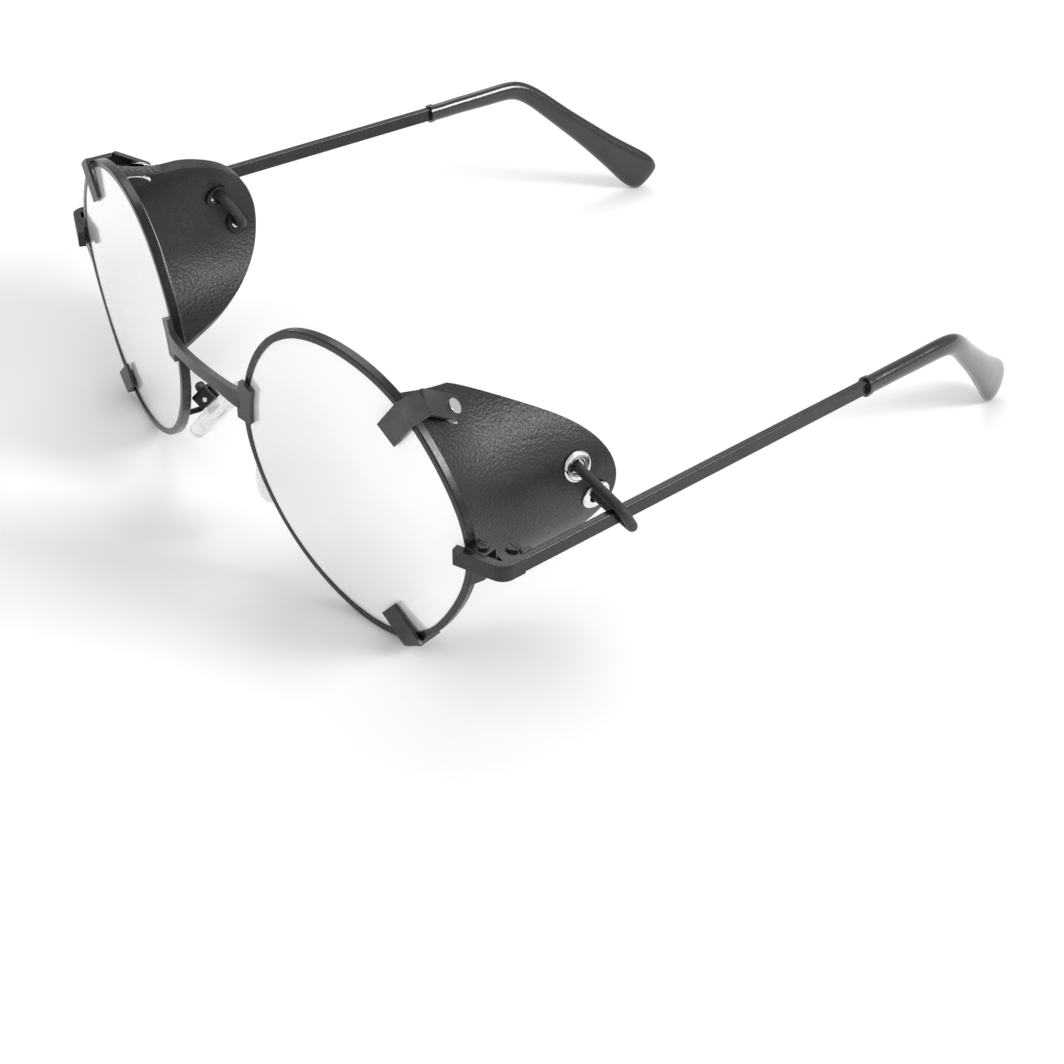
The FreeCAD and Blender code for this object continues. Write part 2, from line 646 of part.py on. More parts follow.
def make_shield(fittings):
    points = [V(0, depth, height) for depth, height in SHIELD_OUTLINE]
    curve = Part.BSplineCurve()
    curve.interpolate(points)
    reach = RIM_RADIUS
    front = [points[-1], V(0, points[-1].y, -reach), V(0, -5, -reach), V(0, -5, reach),
             V(0, points[0].y, reach), points[0]]
    outline = Part.Face(Part.Wire([curve.toShape()] + Part.makePolygon(front).Edges))
    sheet = outline.extrude(V(2 * RIM_RADIUS, 0, 0))
    sheet.translate(V(LENS_CENTRE_X, 0, HEIGHT))
    behind = box(V(-60, RIM_DEPTH + SHIELD_BACKSET, -60), V(60, 80, 60))
    leather = shield_wall().common(sheet).common(shield_wedge()).common(moved(behind, EYE))
    return leather.cut(fittings)


def on_shield(angle, depth, lift):
    """Point above the leather's outer face, and the direction out of the leather there."""
    turn = math.radians(angle)
    out = V(math.cos(turn), 0, math.sin(turn))
    point = V(LENS_CENTRE_X, depth, HEIGHT) + out * (shield_radius(depth) + lift)
    return point, out


def strip_plate(start, end, out, width, tail=0.0):
    """Flat plate whose centre line runs between two points, with a rounded fold at its start."""
    run = end - start
    plate = box(V(-STRIP_THICKNESS / 2, -width / 2, 0),
                V(STRIP_THICKNESS / 2, width / 2, run.Length + tail))
    fold = rod(V(0, -width / 2, 0), V(0, width / 2, 0), STRIP_THICKNESS / 2)
    place = frame(start, out, run)
    return moved(plate, place), moved(fold, place)


def hook_tab(angle, lean, level):
    """Plate in front of the lens, ended at the rim's outline; it leans away from the radius."""
    front = -TAB_CLEAR - STRIP_THICKNESS
    origin = rim_point(angle)
    lean_turn = math.radians(lean)
    out = V(math.cos(lean_turn), 0, math.sin(lean_turn))
    half = STRIP_WIDTH / 2
    plate = box(V(-TAB_REACH, -half, front), V(2 * half, half, -TAB_CLEAR))
    plate = moved(plate, frame(origin, out, Y_AXIS))
    return plate.common(disc(level + STRIP_THICKNESS / 2, front - 1, 1))


def rivet_place(angle, depth):
    """Local Z points out of the strip; the origin is on the strip's centre line."""
    point, out = on_shield(angle, depth, RIVET_PLATE + STRIP_THICKNESS / 2)
    return point, out


def make_bracket(bracket):
    rim_angle, lean, rivet_angle, rivet_depth = bracket
    level = STRIP_THICKNESS / 2 + STRIP_LIFT
    front = -TAB_CLEAR - STRIP_THICKNESS / 2
    radial = EYE.Rotation.multVec(rim_point(rim_angle).normalize())
    first = EYE.multVec(rim_point(rim_angle, level, front))
    crease = EYE.multVec(rim_point(rim_angle, level, STRIP_CREASE))
    rivet, out = rivet_place(rivet_angle, rivet_depth)
    over, front_fold = strip_plate(first, crease, radial, STRIP_WIDTH)
    rear, rear_fold = strip_plate(crease, rivet, out, STRIP_WIDTH, STRIP_WIDTH / 2)
    rear = rear.common(rear_end(crease, rivet, out))
    tab = moved(hook_tab(rim_angle, lean, level), EYE)
    strip = over.fuse([front_fold, rear, rear_fold, tab]).removeSplitter()
    hole = rod(V(0, 0, -4), V(0, 0, 4), RIVET_RADIUS)
    return strip.cut(moved(hole, frame(rivet, Y_AXIS, rivet_normal(bracket))))


def rear_end(crease, rivet, out):
    """Everything up to the round end of the strip, which is centred on the rivet."""
    run = rivet - crease
    half = STRIP_WIDTH / 2
    straight = box(V(-5, -half, -5), V(5, half, run.Length))
    disc_end = rod(V(-5, 0, run.Length), V(5, 0, run.Length), half)
    return moved(straight.fuse(disc_end), frame(crease, out, run))


def rivet_normal(bracket):
    """Direction square to the rear part of the strip."""
    rim_angle, lean, rivet_angle, rivet_depth = bracket
    level = STRIP_THICKNESS / 2 + STRIP_LIFT
    crease = EYE.multVec(rim_point(rim_angle, level, STRIP_CREASE))
    rivet, out = rivet_place(rivet_angle, rivet_depth)
    return frame(crease, out, rivet - crease).Rotation.multVec(X_AXIS)


def make_rivet(bracket):
    half = STRIP_THICKNESS / 2
    shank = rod(V(0, 0, -half - RIVET_PLATE - LEATHER - 0.4), V(0, 0, half), RIVET_RADIUS)
    head = rod(V(0, 0, half), V(0, 0, half + RIVET_PLATE), RIVET_HEAD_RADIUS)
    washer = rod(V(0, 0, -half - RIVET_PLATE), V(0, 0, -half), RIVET_CAP_RADIUS)
    cap_top = -half - RIVET_PLATE - LEATHER - 0.2
    cap = rod(V(0, 0, cap_top - 0.5), V(0, 0, cap_top), RIVET_CAP_RADIUS * 0.9)
    cap_edge = [edge for edge in cap.Edges if abs(edge.CenterOfMass.z - cap_top + 0.5) < 0.01]
    cap = cap.makeFillet(0.3, cap_edge)
    rivet, out = rivet_place(bracket[2], bracket[3])
    place = frame(rivet, Y_AXIS, rivet_normal(bracket))
    return moved(shank.fuse([head, washer, cap]).removeSplitter(), place)


def eyelet_frame(angle, depth):
    """Local Z points out through the eyelet; the origin is on the leather's outer face."""
    centre, out = on_shield(angle, depth, 0.0)
    return frame(centre, Y_AXIS, out)


def make_eyelet(angle, depth):
    sleeve = EYELET_BORE + EYELET_WALL
    barrel = rod(V(0, 0, -LEATHER - 0.2), V(0, 0, 0.1), sleeve)
    flange = rod(V(0, 0, 0), V(0, 0, EYELET_FLANGE), EYELET_RADIUS)
    round_edge = [edge for edge in flange.Edges if abs(edge.CenterOfMass.z - EYELET_FLANGE) < 0.01]
    flange = flange.makeFillet(EYELET_FLANGE * 0.8, round_edge)
    back = rod(V(0, 0, -LEATHER - 0.6), V(0, 0, -LEATHER - 0.2), EYELET_RADIUS * 0.88)
    solid = barrel.fuse([flange, back]).removeSplitter()
    bore = rod(V(0, 0, -9), V(0, 0, 9), EYELET_BORE)
    place = eyelet_frame(angle, depth)
    return moved(solid.cut(bore), place), moved(solid, place)


def cord_plane():
    """The loop lies in the plane through both eyelets and the temple."""
    upper = eyelet_frame(*EYELETS[0]).Base
    lower = eyelet_frame(*EYELETS[1]).Base
    back = (CORD_DEPTH_Y - HINGE_Y) / math.cos(math.radians(SPLAY))
    temple = TEMPLE_FRAME.multVec(V(0, back, 0))
    middle = (upper + lower) * 0.5
    across = (upper - lower).normalize()
    normal = (temple - middle).cross(across)
    place = frame(middle, temple - middle - across * (temple - middle).dot(across), normal)
    return place, upper, lower, temple


def make_cord_loop():
    place, upper, lower, temple = cord_plane()
    inverse = place.inverse()
    high = inverse.multVec(upper)
    low = inverse.multVec(lower)
    bar = inverse.multVec(temple)
    over = TEMPLE_HEIGHT / 2 + CORD_RADIUS + CORD_PLAY
    out = BAR_THICKNESS / 2 + CORD_RADIUS + CORD_PLAY
    behind = LEATHER + CORD_RADIUS + CORD_BEHIND
    points = [V(-behind, high.y, 0), V(CORD_STRAIGHT, high.y, 0), V(bar.x + out, bar.y + over, 0),
              V(bar.x + out, bar.y - over, 0), V(CORD_STRAIGHT, low.y, 0), V(-behind, low.y, 0)]
    radii = [CORD_BEND, CORD_WIDE_BEND, CORD_BEND, CORD_BEND, CORD_WIDE_BEND, CORD_BEND]
    points = [place.multVec(point) for point in points]
    path = rounded_path(points, radii, closed=True)
    return tube(path, CORD_RADIUS)


# ---- the whole object ---------------------------------------------------------------------------

def left_parts():
    rim = moved(make_rim(), EYE)
    rim = rim.cut(moved(rim_screw_shank(RIM_SCREW_RADIUS), EYE))
    end_piece = make_end_piece()
    brackets = [make_bracket(bracket) for bracket in BRACKETS]
    rivets = [make_rivet(bracket) for bracket in BRACKETS]
    eyelets = [make_eyelet(*place) for place in EYELETS]
    cord = make_cord_loop()
    pad_box = moved(make_pad_box(), PAD_FRAME)
    brackets = [bracket.cut(rim) for bracket in brackets]
    fittings = brackets + rivets + [solid for ring, solid in eyelets]
    return {
        "rim": rim,
        "lens": moved(make_lens(), EYE),
        "end_piece": end_piece,
        "rim_screw": moved(make_rim_screw(), EYE),
        "hinge_screw": make_hinge_screw(),
        "temple": make_temple(),
        "temple_tip": make_temple_tip(),
        "pad_arm": make_pad_arm(rim, pad_box),
        "pad_box": pad_box,
        "pad_screw": moved(make_pad_screw(), PAD_FRAME),
        "pad_tab": moved(make_pad_tab(), PAD_FRAME),
        "nose_pad": moved(make_nose_pad(), PAD_FRAME),
        "upper_bracket": brackets[0],
        "lower_bracket": brackets[1],
        "shield_rivets": Part.makeCompound(rivets),
        "shield": make_shield(fittings),
        "eyelets": Part.makeCompound([ring for ring, solid in eyelets]),
        "cord_loop": cord,
    }


def whole_object():
    left = left_parts()
    nodes = {}
    for name, shape in left.items():
        nodes[name + "_left"] = shape
        nodes[name + "_right"] = mirrored(shape)
    nodes["bridge"] = make_bridge()
    return nodes


def main():
    nodes = whole_object()
    bounds = tight_bounds(Part.makeCompound(list(nodes.values())))
    shift = V(0, -(bounds.YMin + bounds.YMax) / 2, 0)
    os.makedirs("parts", exist_ok=True)
    for name, shape in nodes.items():
        shape.translate(shift)
        shape.exportStep("parts/" + name + ".step")
        print(name, len(shape.Solids), "solid", round(shape.Volume, 2), "mm3", shape.isValid())
    pivot = TEMPLE_FRAME.multVec(V(PIVOT_X, 0, 0)) + shift
    pad_pivot = PAD_FRAME.multVec(V(0, 0, PAD_PIVOT_Z)) + shift
    pad_axis = PAD_FRAME.Rotation.multVec(Y_AXIS)
    print("shift", shift, "lens centre height", HEIGHT, "leg", LEG)
    print("hinge pivot", pivot)
    print("pad pivot", pad_pivot, "axis", pad_axis)
    print("size", bounds.XLength, bounds.YLength, bounds.ZLength, "bottom", bounds.ZMin)


main()
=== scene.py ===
import math

import bmesh
import bpy
import numpy as np
from mathutils import Matrix, Vector
from mathutils.bvhtree import BVHTree


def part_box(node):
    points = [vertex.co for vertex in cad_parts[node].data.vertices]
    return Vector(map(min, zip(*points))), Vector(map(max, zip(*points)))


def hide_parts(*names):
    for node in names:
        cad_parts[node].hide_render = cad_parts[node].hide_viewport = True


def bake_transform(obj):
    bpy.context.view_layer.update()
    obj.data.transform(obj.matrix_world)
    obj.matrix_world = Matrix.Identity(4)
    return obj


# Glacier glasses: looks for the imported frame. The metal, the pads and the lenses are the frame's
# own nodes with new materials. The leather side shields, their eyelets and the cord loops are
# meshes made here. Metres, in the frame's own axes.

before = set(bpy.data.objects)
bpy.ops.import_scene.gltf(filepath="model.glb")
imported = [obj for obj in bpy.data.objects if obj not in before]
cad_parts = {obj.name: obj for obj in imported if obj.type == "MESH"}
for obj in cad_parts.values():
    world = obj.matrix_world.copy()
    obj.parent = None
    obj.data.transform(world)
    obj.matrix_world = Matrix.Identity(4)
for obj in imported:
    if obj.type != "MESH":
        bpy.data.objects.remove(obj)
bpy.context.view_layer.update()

MM = 0.001
SIDES = ("left", "right")

# ---- places -------------------------------------------------------------------------------------

CAMERA_PLACE = (0.255132, -0.198526, 0.215484)
CAMERA_RIGHT = (0.60712121, 0.79457447, 0.00743235)
CAMERA_UP = (-0.4869197, 0.36462313, 0.79369968)
CAMERA_BACK = (0.62794349, -0.48549087, 0.6082644)
CAMERA_LENS = 70.59
CAMERA_SENSOR = 36.0

LEATHER_THICKNESS = 1.6 * MM
LEATHER_DEPTHS = 120         # places along the depth where the leather's radius is read
LEATHER_CLEAN_ANGLE = 0.5    # degrees; it is read between the eyelets, clear of every fitting
LEATHER_EASING = 14          # readings averaged to each side, so that the leather has no kink
LEATHER_SLOPE_READINGS = 4   # readings that give its slope in front of the first one
LEATHER_LIMIT_ANGLE = 89.0   # degrees each way from level, where the leather is looked for
LEATHER_ANGLE_STEP = 0.25    # degrees
LEATHER_STEP = 0.25 * MM     # coarse step of the search for the leather's edges
LEATHER_HALVINGS = 10        # times that its last step is halved
LEATHER_INSET = 1e-6         # the search starts this far inside its limits
LEATHER_COLUMNS = 130
LEATHER_ROWS = 56
LEATHER_SET_BACK = 0.05 * MM # below the CAD surface, so that the waves stay under the fittings

WAVE_HEIGHT = 0.13 * MM      # slow waves of worn leather
WAVE_ALONG = 6 * MM
WAVE_AROUND = 0.28           # radians
CALM_BY_EYELET = 5 * MM      # the waves fade out this near to an eyelet
CALM_BY_RIM = 9 * MM         # and this near to the leather's front

CUT_EDGE_WIDTH = 0.32 * MM
CUT_EDGE_SEGMENTS = 3
CUT_EDGE_ANGLE = 55          # degrees; a sharper corner is a cut edge

EYELET_HOLE = 1.9 * MM       # hole in the leather under each eyelet
EYELET_VOXEL = 0.12 * MM
EYELET_SMOOTHING = 2
WASHER_DEPTH = 0.6           # share of the leather's thickness; rings deeper than this are black
CORD_VOXEL = 0.18 * MM
CORD_SMOOTHING = 3
SMOOTHING_SHARE = 0.5
FAR = 0.06                   # longer than any ray across a shield

LENS_CENTRE_X = 34.7 * MM
LENS_CENTRE_Z = 26.209 * MM

METAL_CLOUD = 5 * MM         # sizes of the marks on the metal
# the small bright specks on the metal are painted glints
METAL_GLINT = 0.34 * MM
METAL_GLINT_PATCH = 2.2 * MM
METAL_LIGHT_EDGE_PATCH = 0.9 * MM
METAL_GLOSS_PATCH = 0.7 * MM
METAL_GRAIN = 0.12 * MM
METAL_GRAIN_HEIGHT = 0.02 * MM
METAL_LIGHT_EDGE_WIDTH = 0.12 * MM
METAL_ROUNDING = 0.10 * MM
# colour of the painted glints
METAL_GLINT_COLOUR = (0.55, 0.56, 0.57)

FLOOR_HALF = 3.0
SKY_COLOUR = (0.97, 0.98, 1.0, 1.0)
SKY_STRENGTH = 0.68

# name, direction from the object, distance, size and power in watts
LIGHTS = (
    ("key", (0.72, 0.48, 0.55), 0.9, 0.30, 5.0),
    ("overhead", (-0.55, 0.45, 1.0), 1.0, 0.55, 2.2),
    ("front", (-0.2, -1.0, 0.5), 1.1, 0.6, 1.5),
)


# ---- node helpers -------------------------------------------------------------------------------

def new_material(name):
    material = bpy.data.materials.new(name)
    material.use_nodes = True
    nodes = material.node_tree.nodes
    return material, nodes, material.node_tree.links, nodes["Principled BSDF"]


def place_coordinates(nodes):
    return nodes.new("ShaderNodeTexCoord").outputs["Object"]


def noise(nodes, links, size, detail=4.0, roughness=0.55, distortion=0.0):
    """Noise whose features are about the given size across, in metres."""
    texture = nodes.new("ShaderNodeTexNoise")
    texture.inputs["Scale"].default_value = 1.0 / size
    texture.inputs["Detail"].default_value = detail
    texture.inputs["Roughness"].default_value = roughness
    texture.inputs["Distortion"].default_value = distortion
    links.new(place_coordinates(nodes), texture.inputs["Vector"])
    return texture.outputs["Fac"]


def cells(nodes, links, size, feature="F1"):
    """Distance from the middle of the nearest of many small cells."""
    texture = nodes.new("ShaderNodeTexVoronoi")
    texture.feature = feature
    texture.inputs["Scale"].default_value = 1.0 / size
    links.new(place_coordinates(nodes), texture.inputs["Vector"])
    return texture.outputs["Distance"]


def ramp(nodes, links, source, stops):
    """Colour ramp; each stop is a place and a grey level or a colour."""
    node = nodes.new("ShaderNodeValToRGB")
    elements = node.color_ramp.elements
    while len(elements) < len(stops):
        elements.new(0.5)
    for element, (place, value) in zip(elements, stops):
        element.position = place
        colour = value if isinstance(value, tuple) else (value, value, value)
        element.color = (*colour, 1.0)
    links.new(source, node.inputs["Fac"])
    return node.outputs["Color"]


def mix_colour(nodes, links, share, first, second, blend="MIX"):
    node = nodes.new("ShaderNodeMix")
    node.data_type = "RGBA"
    node.blend_type = blend
    sockets = (node.inputs[0], node.inputs[6], node.inputs[7])
    for socket, value in zip(sockets, (share, first, second)):
        if isinstance(value, bpy.types.NodeSocket):
            links.new(value, socket)
        elif isinstance(value, tuple):
            socket.default_value = (*value, 1.0)
        else:
            socket.default_value = value
    return node.outputs[2]


def arithmetic(nodes, links, operation, first, second):
    node = nodes.new("ShaderNodeMath")
    node.operation = operation
    for socket, value in ((node.inputs[0], first), (node.inputs[1], second)):
        if isinstance(value, bpy.types.NodeSocket):
            links.new(value, socket)
        else:
            socket.default_value = value
    return node.outputs[0]


def bump(nodes, links, height, distance, strength, under=None):
    node = nodes.new("ShaderNodeBump")
    node.inputs["Distance"].default_value = distance
    node.inputs["Strength"].default_value = strength
    links.new(height, node.inputs["Height"])
    if under is not None:
        links.new(under, node.inputs["Normal"])
    return node.outputs["Normal"]


def rounded_edges(nodes, radius):
    node = nodes.new("ShaderNodeBevel")
    node.samples = 4
    node.inputs["Radius"].default_value = radius
    return node.outputs["Normal"]


def edge_share(nodes, links, radius):
    """1 on the edges of a hard-edged piece, 0 on its flat faces."""
    edge = rounded_edges(nodes, radius)
    plain = nodes.new("ShaderNodeNewGeometry").outputs["Normal"]
    dot = nodes.new("ShaderNodeVectorMath")
    dot.operation = "DOT_PRODUCT"
    links.new(edge, dot.inputs[0])
    links.new(plain, dot.inputs[1])
    return ramp(nodes, links, dot.outputs["Value"], ((0.86, 1.0), (0.985, 0.0)))


# ---- materials ----------------------------------------------------------------------------------

def metal(name, dark, light, roughness, metallic,
          edge=0.0, edge_colour=0.5, glint_amount=0.0, coat=0.0):
    """Metal with a fine grain, cloudy tone, lighter edges and bright painted glints."""
    material, nodes, links, shader = new_material(name)
    cloud = noise(nodes, links, METAL_CLOUD)
    colour = ramp(nodes, links, cloud, ((0.3, dark), (0.7, light)))
    # Bright specks painted into the colour: painted glints of light on the metal.
    if glint_amount:
        specks = cells(nodes, links, METAL_GLINT)
        dust_and_glints = ramp(nodes, links, specks, ((0.10, 1.0), (0.20, 0.0)))
        patches = ramp(nodes, links, noise(nodes, links, METAL_GLINT_PATCH),
                       ((0.46, 0.0), (0.66, 1.0)))
        amount = arithmetic(nodes, links, "MULTIPLY", dust_and_glints, patches)
        amount = arithmetic(nodes, links, "MULTIPLY", amount, glint_amount)
        colour = mix_colour(nodes, links, amount, colour, METAL_GLINT_COLOUR)
    # Lighter edges: wear on most metal parts, and a painted highlight on the screws.
    if edge:
        edge_wear_and_highlight = edge_share(nodes, links, METAL_LIGHT_EDGE_WIDTH)
        patchy = ramp(nodes, links, noise(nodes, links, METAL_LIGHT_EDGE_PATCH),
                      ((0.35, 0.15), (0.65, 1.0)))
        amount = arithmetic(nodes, links, "MULTIPLY", edge_wear_and_highlight, patchy)
        amount = arithmetic(nodes, links, "MULTIPLY", amount, edge)
        colour = mix_colour(nodes, links, amount, colour, (edge_colour,) * 3)
    links.new(colour, shader.inputs["Base Color"])
    shader.inputs["Metallic"].default_value = metallic
    shader.inputs["Coat Weight"].default_value = coat
    shader.inputs["Coat Roughness"].default_value = 0.12
    grain = noise(nodes, links, METAL_GRAIN, 3.0)
    rough = ramp(nodes, links, noise(nodes, links, METAL_GLOSS_PATCH),
                 ((0.3, roughness * 0.8), (0.7, min(1.0, roughness * 1.3))))
    links.new(rough, shader.inputs["Roughness"])
    normal = bump(nodes, links, grain, METAL_GRAIN_HEIGHT, 0.5,
                  rounded_edges(nodes, METAL_ROUNDING))
    links.new(normal, shader.inputs["Normal"])
    return material


def lens_glass():
    """Silver mirror coating with a faint cloudiness and fine dust."""
    material, nodes, links, shader = new_material("lens_mirror")
    cloud = noise(nodes, links, 14 * MM, 2.0)
    links.new(ramp(nodes, links, cloud, ((0.3, (0.96, 0.965, 0.97)), (0.7, (0.99, 0.99, 0.99)))),
              shader.inputs["Base Color"])
    shader.inputs["Metallic"].default_value = 0.35
    shader.inputs["Coat Weight"].default_value = 0.6
    shader.inputs["Coat Roughness"].default_value = 0.03
    dust_and_glints = ramp(nodes, links, noise(nodes, links, 0.5 * MM), ((0.3, 0.12), (0.75, 0.2)))
    links.new(dust_and_glints, shader.inputs["Roughness"])
    links.new(bump(nodes, links, noise(nodes, links, 9 * MM), 0.01 * MM, 0.1),
              shader.inputs["Normal"])
    return material


def tip_plastic():
    """Gloss black moulded plastic with fine handling marks and a soft orange-peel surface."""
    material, nodes, links, shader = new_material("tip_plastic")
    links.new(ramp(nodes, links, noise(nodes, links, 3 * MM), ((0.3, 0.006), (0.7, 0.016))),
              shader.inputs["Base Color"])
    links.new(ramp(nodes, links, noise(nodes, links, 0.6 * MM), ((0.35, 0.14), (0.7, 0.27))),
              shader.inputs["Roughness"])
    shader.inputs["Coat Weight"].default_value = 0.5
    shader.inputs["Coat Roughness"].default_value = 0.08
    normal = bump(nodes, links, noise(nodes, links, 0.45 * MM), 0.03 * MM, 0.35,
                  rounded_edges(nodes, 0.15 * MM))
    links.new(normal, shader.inputs["Normal"])
    return material


def pad_silicone():
    """Clear, slightly milky silicone."""
    material, nodes, links, shader = new_material("pad_silicone")
    links.new(ramp(nodes, links, noise(nodes, links, 3 * MM),
                   ((0.3, (0.90, 0.91, 0.90)), (0.7, (0.96, 0.97, 0.96)))),
              shader.inputs["Base Color"])
    shader.inputs["Transmission Weight"].default_value = 0.72
    shader.inputs["IOR"].default_value = 1.41
    links.new(ramp(nodes, links, noise(nodes, links, 0.8 * MM), ((0.3, 0.16), (0.7, 0.3))),
              shader.inputs["Roughness"])
    links.new(bump(nodes, links, noise(nodes, links, 0.5 * MM), 0.02 * MM, 0.3),
              shader.inputs["Normal"])
    return material


def leather():
    """Black leather: pebbled grain, grey rubbed tops, fine creases and smoother patches."""
    material, nodes, links, shader = new_material("leather")
    pebbles = cells(nodes, links, 0.46 * MM, "SMOOTH_F1")
    specks = noise(nodes, links, 0.30 * MM, 4.0, 0.6)
    wear = noise(nodes, links, 9 * MM, 3.0, 0.6)
    creases = noise(nodes, links, 2.4 * MM, 6.0, 0.65, 0.9)
    tops = ramp(nodes, links, specks, ((0.50, 0.0), (0.66, 1.0)))
    rubbed = ramp(nodes, links, wear, ((0.36, 0.25), (0.62, 1.0)))
    share = arithmetic(nodes, links, "MULTIPLY", tops, rubbed)
    smooth_tone = ramp(nodes, links, wear,
                       ((0.35, (0.0025, 0.003, 0.004)), (0.65, (0.007, 0.008, 0.010))))
    colour = mix_colour(nodes, links, share, smooth_tone, (0.026, 0.028, 0.030))
    cracks = ramp(nodes, links, creases, ((0.47, 1.0), (0.50, 0.6), (0.53, 1.0)))
    colour = mix_colour(nodes, links, 1.0, colour, cracks, "MULTIPLY")
    links.new(colour, shader.inputs["Base Color"])
    links.new(ramp(nodes, links, specks, ((0.35, 0.50), (0.7, 0.34))), shader.inputs["Roughness"])
    shader.inputs["Specular IOR Level"].default_value = 0.48
    shader.inputs["Sheen Weight"].default_value = 0.03
    shader.inputs["Sheen Roughness"].default_value = 0.45
    domes = ramp(nodes, links, pebbles, ((0.05, 1.0), (0.55, 0.0)))
    grain = bump(nodes, links, domes, 0.06 * MM, 0.7)
    grain = bump(nodes, links, specks, 0.05 * MM, 0.5, grain)
    links.new(bump(nodes, links, creases, 0.05 * MM, 0.25, grain), shader.inputs["Normal"])
    return material


def lace():
    """Dark braided cord with a greyish sheen."""
    material, nodes, links, shader = new_material("braided_cord")
    links.new(ramp(nodes, links, noise(nodes, links, 0.25 * MM, 3.0),
                   ((0.35, (0.004, 0.004, 0.005)), (0.7, (0.022, 0.022, 0.025)))),
              shader.inputs["Base Color"])
    links.new(ramp(nodes, links, noise(nodes, links, 0.5 * MM), ((0.3, 0.5), (0.7, 0.75))),
              shader.inputs["Roughness"])
    shader.inputs["Sheen Weight"].default_value = 0.10
    links.new(bump(nodes, links, noise(nodes, links, 0.16 * MM), 0.05 * MM, 0.6),
              shader.inputs["Normal"])
    return material


def floor_paint():
    material, nodes, links, shader = new_material("studio_floor")
    links.new(ramp(nodes, links, noise(nodes, links, 0.4), ((0.3, 0.93), (0.7, 0.95))),
              shader.inputs["Base Color"])
    shader.inputs["Roughness"].default_value = 0.9
    shader.inputs["Specular IOR Level"].default_value = 0.1
    return material


MATERIALS = {
    "frame": metal("black_frame", 0.004, 0.010, 0.26, 0.30,
                   edge=0.7, edge_colour=0.14, glint_amount=0.22, coat=0.2),
    "bridge": metal("grey_frame", 0.045, 0.085, 0.34, 0.6,
                    edge=0.7, edge_colour=0.30, glint_amount=0.5, coat=0.1),
    "bracket": metal("dull_steel", 0.035, 0.075, 0.40, 0.6, edge=0.8, edge_colour=0.26),
    # The screws' lighter edges are a painted highlight.
    "screw": metal("dark_screw", 0.02, 0.05, 0.3, 0.7, edge=0.8, edge_colour=0.45),
    "chrome": metal("chrome", 0.74, 0.86, 0.1, 1.0, edge=0.3, edge_colour=0.95),
    "box": metal("pad_box_black", 0.004, 0.010, 0.35, 0.3, edge=0.7, edge_colour=0.2),
    "lens": lens_glass(),
    "tip": tip_plastic(),
    "pad": pad_silicone(),
    "leather": leather(),
    "cord": lace(),
}

NODE_LOOKS = {
    "rim": "frame", "end_piece": "frame", "temple": "frame", "pad_arm": "box", "bridge": "bridge",
    "pad_box": "box", "lens": "lens", "rim_screw": "screw", "hinge_screw": "screw",
    "pad_screw": "chrome", "shield_rivets": "chrome", "upper_bracket": "bracket",
    "lower_bracket": "bracket", "temple_tip": "tip", "nose_pad": "pad", "pad_tab": "pad",
    "shield": "leather", "eyelets": "chrome", "cord_loop": "cord",
}


def paint(thing, look):
    """Sets the look in every material slot, and adds a slot to a mesh that has none."""
    if not thing.material_slots:
        thing.data.materials.append(MATERIALS[look])
    for slot in thing.material_slots:
        slot.material = MATERIALS[look]


def node_kind(name):
    """The node's name without its side."""
    for side in SIDES:
        if name.endswith("_" + side):
            return name[:-len(side) - 1]
    return name


def paint_nodes():
    for name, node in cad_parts.items():
        paint(node, NODE_LOOKS[node_kind(name)])


# ---- soft pieces --------------------------------------------------------------------------------

def new_object(name, mesh):
    thing = bpy.data.objects.new(name, mesh)
    bpy.context.scene.collection.objects.link(thing)
    return thing


def smooth_shaded(mesh):
    for face in mesh.polygons:
        face.use_smooth = True
    return mesh


def final_mesh(thing):
    """Applies the piece's modifiers, so that the piece holds the final mesh."""
    evaluated = thing.evaluated_get(bpy.context.evaluated_depsgraph_get())
    mesh = bpy.data.meshes.new_from_object(evaluated)
    thing.modifiers.clear()
    thing.data = mesh
    smooth_shaded(mesh)


def rounded_copy(name, node, voxel, passes):
    """The node's shape as an even mesh with rounded corners."""
    thing = new_object(name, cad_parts[node].data.copy())
    remesh = thing.modifiers.new("remesh", "REMESH")
    remesh.mode = "VOXEL"
    remesh.voxel_size = voxel
    smooth = thing.modifiers.new("smooth", "SMOOTH")
    smooth.factor = SMOOTHING_SHARE
    smooth.iterations = passes
    final_mesh(thing)
    return thing


